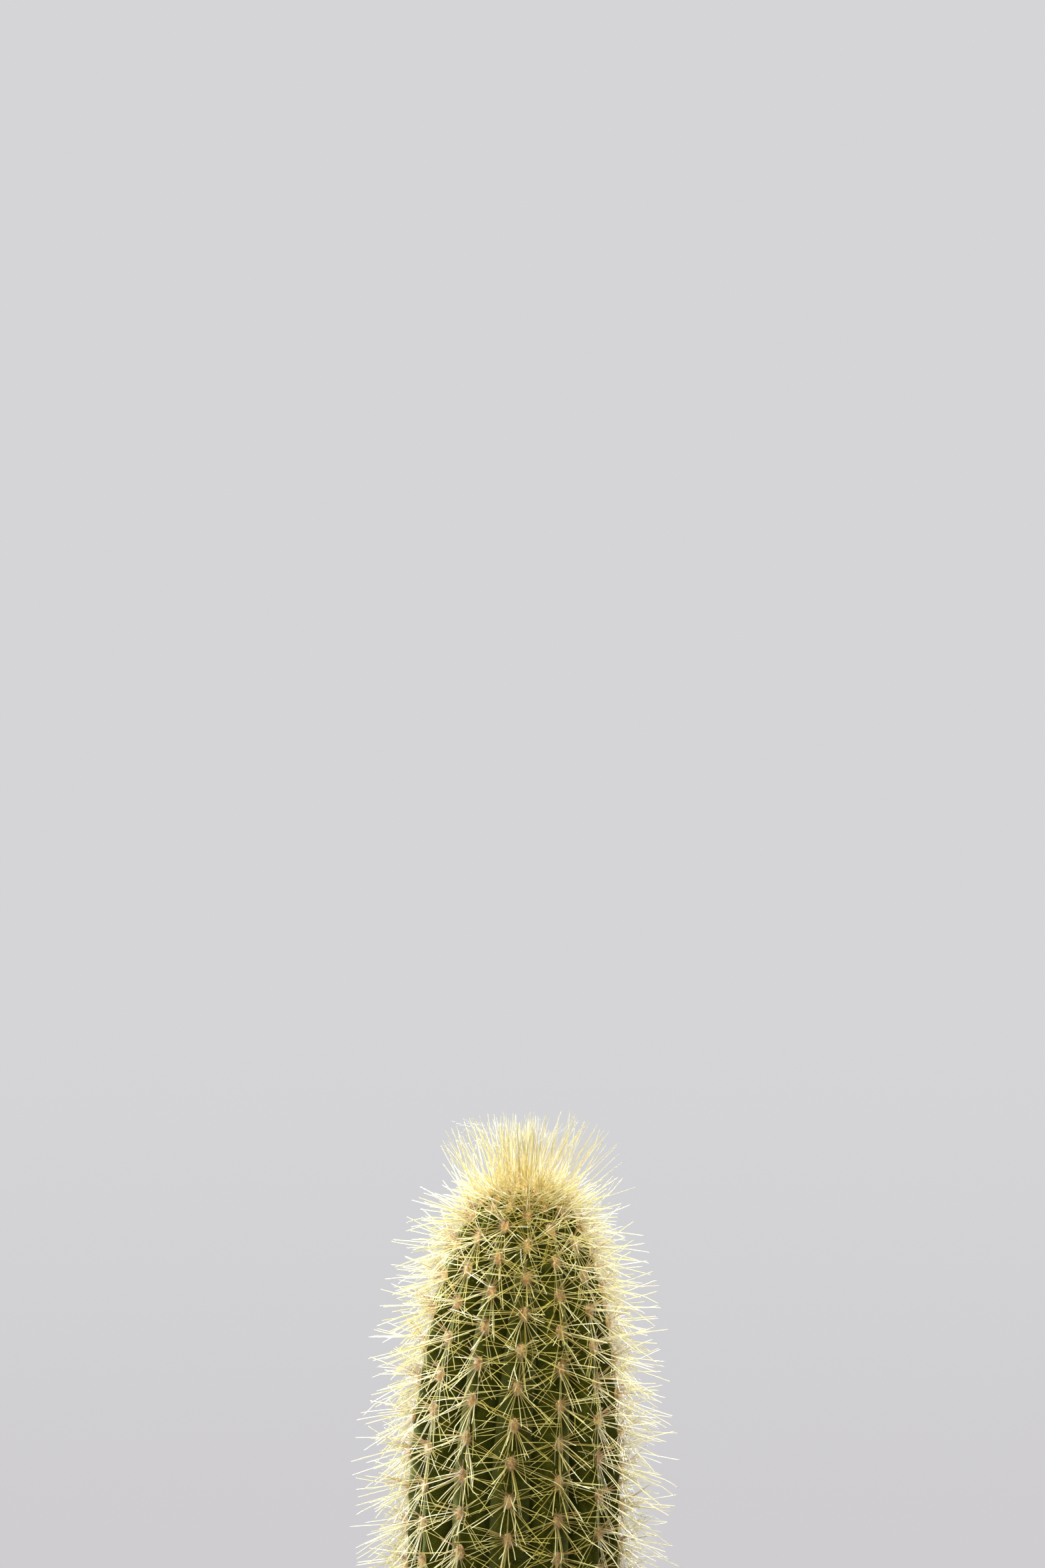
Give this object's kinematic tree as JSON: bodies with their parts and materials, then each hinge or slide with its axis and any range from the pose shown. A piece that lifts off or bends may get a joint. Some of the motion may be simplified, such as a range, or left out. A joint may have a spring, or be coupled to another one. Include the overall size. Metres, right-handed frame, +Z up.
{
  "type": "potted columnar cactus",
  "caption": "Ribbed columnar cactus with woolly areoles and straw-yellow spines, rooted in soil under grit in a plain tapered clay pot.",
  "frame": {"origin": "centre of the pot's underside, on the surface that it stands on", "axes": "+Z up along the pot's and the stem's axis, -Y towards the front"},
  "size_m": [0.11, 0.11, 0.2622],
  "materials": {
    "pot": "matte",
    "soil": "matte",
    "grit": "matte",
    "cactus": "satin"
  },
  "bodies": {
    "root": {"pot": "pot", "soil": "soil", "grit": "grit", "cactus": "cactus"}
  },
  "joints": []
}
